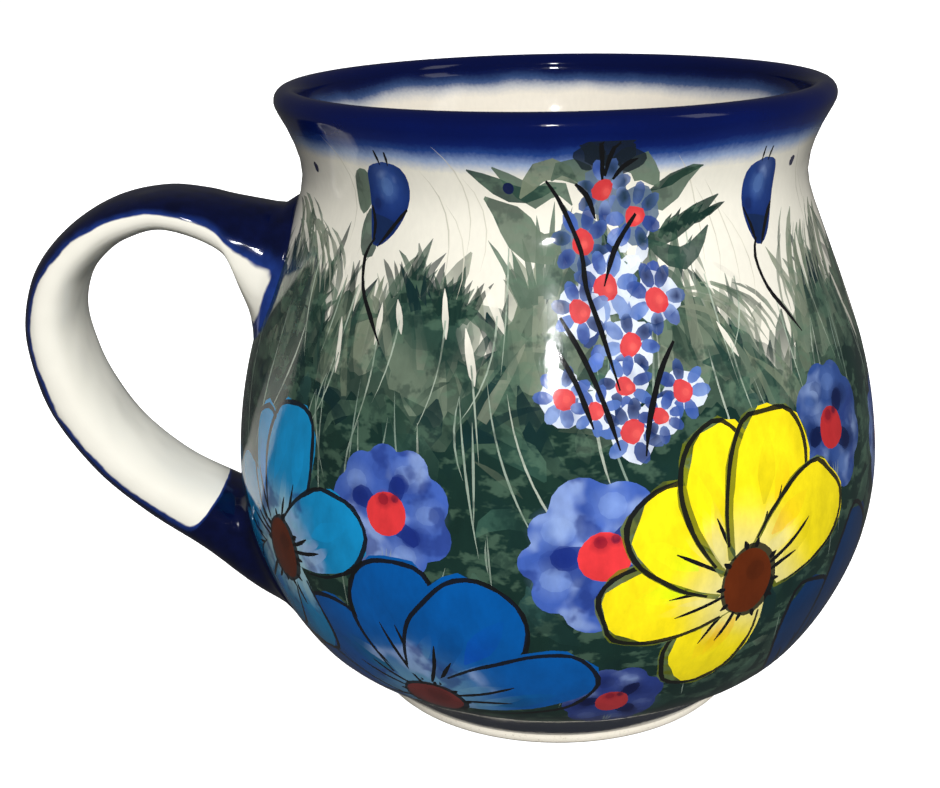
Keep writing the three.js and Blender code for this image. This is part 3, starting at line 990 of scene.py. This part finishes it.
# ---- The handle ------------------------------------------------------------------------------
# A strap pulled from a lump of clay, bent into a loop and luted to the wall at both ends. Its two
# edges follow two rails, given as distance from the pot's axis and height.
OUTER_RAIL = [
    (38, 80), (50, 82.4), (56, 83.7), (62.5, 84.2), (70.2, 82.7), (77.4, 78.6), (82.9, 72.4), (85.45, 64.8),
    (85.45, 57.5), (82.9, 47.8), (76.5, 37.8), (68.7, 30.2), (59.6, 23.2), (50.4, 15.1), (38, 7.5),
]
INNER_RAIL = [
    (47.6, 57.6), (49.7, 66.2), (52, 73.6), (61, 77.9), (67.9, 76.6), (72.6, 73.4), (75.6, 69.6), (77, 64.2),
    (76.2, 58.6), (74, 52.4), (69.4, 44.8), (62.3, 38.2), (55, 34.2), (49, 31.5), (43, 29.5),
]
HALF_WIDTH = 9.6
ROOT_WIDER = 1.2
SIDES = 44
FILLET = 2.6  # how far the wiped clay spreads at the roots

cobalt = Finish("handle_glaze", IOR=1.5, Coat_Weight=0.25, Coat_Roughness=0.04)
ragged = cobalt.noise(190, 2.5, roughness=0.5)
along, back, clear = (cobalt.attribute(name) for name in ("along", "back", "clear"))
edge_at = cobalt.add("ShaderNodeFloatCurve", {"Factor": 1.0, "Value": along}).node
limit = edge_at.mapping.curves[0].points
for position, value in (
    (0.1, 0.64), (0.2, 0.64), (0.3, 0.7), (0.45, 0.76), (0.72, 0.72), (0.83, 0.68), (0.865, 0.0),
):
    limit.new(position, value)
limit[0].location, limit[-1].location = (0, 0.64), (1, 0)
edge_at.mapping.update()
border = cobalt.between(edge_at.outputs[0], 0, 1, -1.4, 1)
over = cobalt.math("SUBTRACT", back, border)
over = cobalt.math("ADD", over, cobalt.between(ragged, 0.3, 0.7, -0.07, 0.07))
on_back = cobalt.between(over, -0.04, 0.05, smooth=True)
luted = cobalt.math("ADD", clear, cobalt.between(ragged, 0.3, 0.7, -0.0003, 0.0003))
on_joint = cobalt.between(luted, 0.0009, 0.0013, 1.0, 0.0, smooth=True)
blue = cobalt.math("MAXIMUM", on_back, on_joint)
deep = cobalt.mix(cobalt.between(over, 0.0, 0.35, smooth=True), (26, 50, 116), (4, 10, 44))
deep = cobalt.brightness(deep, cobalt.between(cobalt.noise(420, 4), 0.3, 0.7, 0.7, 1.3))
bare = cobalt.mix(cobalt.noise(60, 3), (238, 234, 220), (245, 242, 230))
handle_colour = cobalt.mix(blue, bare, deep)
gloss = cobalt.between(cobalt.noise(240, 4), 0.3, 0.7, 0.07, 0.14)
handle_glaze = cobalt.wear(handle_colour, gloss, cobalt.noise(90, 2), 0.0007)

pulling = Tree("pull_the_strap", Outer="Object", Inner="Object", Wall="Object", Rows="Int", Sides="Int",
               Width="Float", Root_Wider="Float", Fillet="Float")
across = pulling.math("ADD", pulling.give("Sides"), 1.0)
grid = pulling.add("GeometryNodeMeshGrid", 1.0, 1.0, pulling.give("Rows"), across)[0]
index = pulling.add("GeometryNodeInputIndex")[0]
row = pulling.math("FLOOR", pulling.math("DIVIDE", index, across))
side = pulling.math("MODULO", index, across)
share = pulling.math("DIVIDE", row, pulling.math("SUBTRACT", pulling.give("Rows"), 1.0))
rails = []
for label in ("Outer", "Inner"):
    place = pulling.add("GeometryNodeInputPosition")[0]
    picked = {"Geometry": pulling.shape(label), "Index": row}
    picked = wire(pulling.tree, "GeometryNodeSampleIndex", picked, data_type="FLOAT_VECTOR")
    pulling.tree.links.new(place, picked.node.inputs["Value"])
    rails.append(picked)
turned = pulling.math("MULTIPLY", pulling.math("DIVIDE", side, pulling.give("Sides")), 2 * math.pi)
round_by = []
for operation in ("COSINE", "SINE"):
    wave = pulling.math(operation, turned)
    fuller = pulling.math("POWER", pulling.math("ABSOLUTE", wave), 0.85)
    round_by.append(pulling.math("MULTIPLY", fuller, pulling.math("SIGN", wave)))
middle = pulling.add("ShaderNodeMix", 0.5, *rails, data_type="VECTOR")[0]
reach_out = pulling.vector("SCALE", pulling.vector("SUBTRACT", rails[0], middle), round_by[0])
near_end = pulling.math("MINIMUM", share, pulling.math("SUBTRACT", 1.0, share))
near_end = pulling.math("SUBTRACT", 1.0, pulling.math("DIVIDE", near_end, 0.14))
near_end = pulling.math("MAXIMUM", near_end, 0.0)
wider = pulling.math("MULTIPLY", pulling.math("POWER", near_end, 2.0), pulling.give("Root_Wider"))
half_wide = pulling.math("ADD", pulling.give("Width"), wider)
half_wide = pulling.math("MULTIPLY", half_wide, round_by[1])
outwards = pulling.add("ShaderNodeCombineXYZ", 0.0, half_wide, 0.0)[0]
offset = pulling.vector("ADD", reach_out, outwards)
strap = pulling.add("GeometryNodeSetPosition", grid, True, pulling.vector("ADD", middle, offset))[0]
proximity = wire(pulling.tree, "GeometryNodeProximity", {0: pulling.shape("Wall")}, target_element="FACES")
distance = proximity.node.outputs["Distance"]
closeness = pulling.math("SUBTRACT", 1.0, pulling.math("DIVIDE", distance, pulling.give("Fillet")))
closeness = pulling.math("MAXIMUM", closeness, 0.0)
widest = pulling.math("MULTIPLY", pulling.give("Fillet"), 0.8)
spread = pulling.math("MULTIPLY", pulling.math("POWER", closeness, 2.2), widest)
way_out = pulling.add("ShaderNodeVectorMath", offset, operation="NORMALIZE")[0]
flare = pulling.vector("SCALE", way_out, spread)
for name, value in (("clear", distance), ("back", round_by[0]), ("along", share)):
    strap = pulling.note(strap, name, value)
pulling.finish(pulling.add("GeometryNodeSetPosition", strap, True, None, flare)[0], handle_glaze)

rails = []
for name, points in (("outer_rail", OUTER_RAIL), ("inner_rail", INNER_RAIL)):
    reach, height = spline(points, 9).T
    rails.append(guide_line(name, AXIS_X / MM - reach, 0, height))
ROWS = len(reach)
blank = put("blank")
whole = pulling.make("whole_strap", blank, Outer=rails[0], Inner=rails[1], Wall=pot, Rows=ROWS, Sides=SIDES,
                     Width=HALF_WIDTH * MM, Root_Wider=ROOT_WIDER * MM, Fillet=FILLET * MM)
strap_points = np.array([v.co for v in whole.data.vertices]).reshape(ROWS, SIDES + 1, 3)[:, :SIDES]
strap_notes = {}
for name in ("along", "back", "clear"):
    values = np.zeros(len(whole.data.vertices), np.float32)
    whole.data.attributes[name].data.foreach_get("value", values)
    strap_notes[name] = values.reshape(ROWS, SIDES + 1)[:, :SIDES]
drop(blank, whole, *rails)
step_along = np.gradient(strap_points, axis=0)
step_round = np.roll(strap_points, -1, 1) - np.roll(strap_points, 1, 1)
strap_facing = np.cross(step_round, step_along)
strap_facing /= np.linalg.norm(strap_facing, axis=2, keepdims=True)
middle_line = strap_points.mean(1)
if ((strap_points[40] - middle_line[40]) * strap_facing[40]).sum() < 0:
    strap_facing = -strap_facing


def strap_piece(name, first, last):
    """A closed stretch of the strap between two rows, shaded as part of the whole."""
    rows = range(first, last + 1)
    points = [tuple(p) for row in rows for p in strap_points[row]]
    facing = [tuple(p) for row in rows for p in strap_facing[row]]
    faces = []
    for row in range(last - first):
        for k in range(SIDES):
            a, b = row * SIDES + k, row * SIDES + (k + 1) % SIDES
            faces.append((a, b, b + SIDES, a + SIDES))
    end = (last - first) * SIDES
    faces.append(tuple(range(SIDES - 1, -1, -1)))
    faces.append(tuple(range(end, end + SIDES)))
    mesh = bpy.data.meshes.new(name)
    mesh.from_pydata(points, [], faces)
    a, b, c = (np.array(points[k]) for k in faces[0][:3])
    if np.cross(b - a, c - a) @ np.array(facing[0]) < 0:
        mesh.flip_normals()
    for label, values in strap_notes.items():
        mesh.attributes.new(label, "FLOAT", "POINT").data.foreach_set("value", values[first:last + 1].ravel())
    mesh.shade_smooth()
    normals = []
    for polygon in mesh.polygons:
        for vertex in polygon.vertices:
            normals.append(facing[vertex] if len(polygon.vertices) == 4 else tuple(polygon.normal))
    mesh.normals_split_custom_set(normals)
    mesh.materials.append(handle_glaze)
    return put(name, mesh)


JOINT = 3.0 * MM  # thickness of the luted layer
free = np.nonzero(strap_notes["clear"].min(1) > JOINT)[0]
upper_row = free[free < ROWS // 2].min()
lower_row = free[free > ROWS // 2].max()
first_row = np.nonzero(np.linalg.norm(middle_line - middle_line[upper_row], axis=1) < 12 * MM)[0].min()
for name, first, last, node, finish in (
    ("handle_strap", upper_row, lower_row, "handle", "handle_glaze"),
    ("upper_luting", first_row, upper_row, "upper_handle_joint", "cobalt_glaze"),
    ("lower_luting", lower_row, ROWS - 1, "lower_handle_joint", "cobalt_glaze"),
):
    piece = strap_piece(name, first, last)
    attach(piece, "root")
    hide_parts(node)


# ---- Studio ----------------------------------------------------------------------------------
# A pale floor that curves up into a round backdrop, one small lamp and a soft glow that the glaze
# reflects, other soft lights that leave no reflection, and the camera.
STEPS_ROUND = 96
sweep = []
for radius, rise in (
    (0.5, 0), (1.5, 0), (2.4, 0), (2.7, 0.04), (2.9, 0.14), (3.0, 0.34), (3.05, 1.0), (3.05, 4.0),
):
    for step in range(STEPS_ROUND):
        angle = 2 * math.pi * step / STEPS_ROUND
        sweep.append((radius * math.cos(angle), radius * math.sin(angle), rise))
faces = [tuple(range(STEPS_ROUND))]
for first in range(0, len(sweep) - STEPS_ROUND, STEPS_ROUND):
    for step in range(STEPS_ROUND):
        after = (step + 1) % STEPS_ROUND
        faces.append((first + step, first + STEPS_ROUND + step, first + STEPS_ROUND + after, first + after))
floor_mesh = bpy.data.meshes.new("studio_floor")
floor_mesh.from_pydata(sweep, [], faces)
floor_mesh.shade_smooth()
paper = Finish("paper_sweep", Roughness=0.9, Emission_Color=(1, 1, 1, 1), Emission_Strength=1.0)
pale_paper = paper.mix(paper.noise(3, 2), (244, 244, 244), (248, 248, 247))
paper.tree.links.new(pale_paper, paper.shader.inputs["Base Color"])
floor_mesh.materials.append(paper.material)
floor = put("studio_floor", floor_mesh)
floor.visible_glossy = False  # keeps the pale floor from clouding the glaze
floor.visible_diffuse = False

world = bpy.data.worlds.new("studio")
world.use_nodes = True
sky = world.node_tree.nodes["Background"].inputs
sky["Color"].default_value = (1.0, 1.0, 1.0, 1.0)
sky["Strength"].default_value = 0.06
bpy.context.scene.world = world


def softbox(name, azimuth, elevation, distance, wide, tall, watts, mirrored=True):
    """An area light that looks at the mug from a direction, 0 being the front."""
    data = bpy.data.lights.new(name, "AREA")
    data.shape = "RECTANGLE"
    data.size, data.size_y = wide, tall
    data.energy = watts
    light = put(name, data)
    a, e = math.radians(azimuth), math.radians(elevation)
    back = Vector((math.sin(a) * math.cos(e), -math.cos(a) * math.cos(e), math.sin(e)))
    aim = Vector((AXIS_X, 0, 0.055))
    turn = (-back).to_track_quat("-Z", "Y").to_matrix().to_4x4()
    light.matrix_world = Matrix.Translation(aim + back * distance) @ turn
    light.visible_glossy = mirrored


softbox("front_lamp", -4.5, 24.5, 0.9, 0.045, 0.03, 0.8)
softbox("right_glow", 62, 35, 1.3, 0.3, 0.5, 0.5)
softbox("front_fill", 8, 24, 1.3, 0.6, 0.4, 18.5, mirrored=False)
softbox("back_left", -145, 34, 1.2, 0.5, 0.5, 5.0, mirrored=False)
softbox("back_right", 150, 34, 1.2, 0.5, 0.5, 5.0, mirrored=False)

CAMERA_BACK = 230.0 * MM
CAMERA_LEFT = 14.0 * MM
CAMERA_UP = 124.0 * MM
PITCH = 18.23
ROLL = -1.326
camera_data = bpy.data.cameras.new("camera")
camera_data.lens = 55.42
camera_data.sensor_width = 36.0
camera_data.clip_start = 0.01
camera = put("camera", camera_data)
camera.matrix_world = (
    Matrix.Translation((AXIS_X - CAMERA_LEFT, -CAMERA_BACK, CAMERA_UP))
    @ Matrix.Rotation(math.radians(90 - PITCH), 4, "X")
    @ Matrix.Rotation(math.radians(ROLL), 4, "Z")
)
bpy.context.scene.camera = camera
bpy.context.scene.view_settings.view_transform = "Standard"
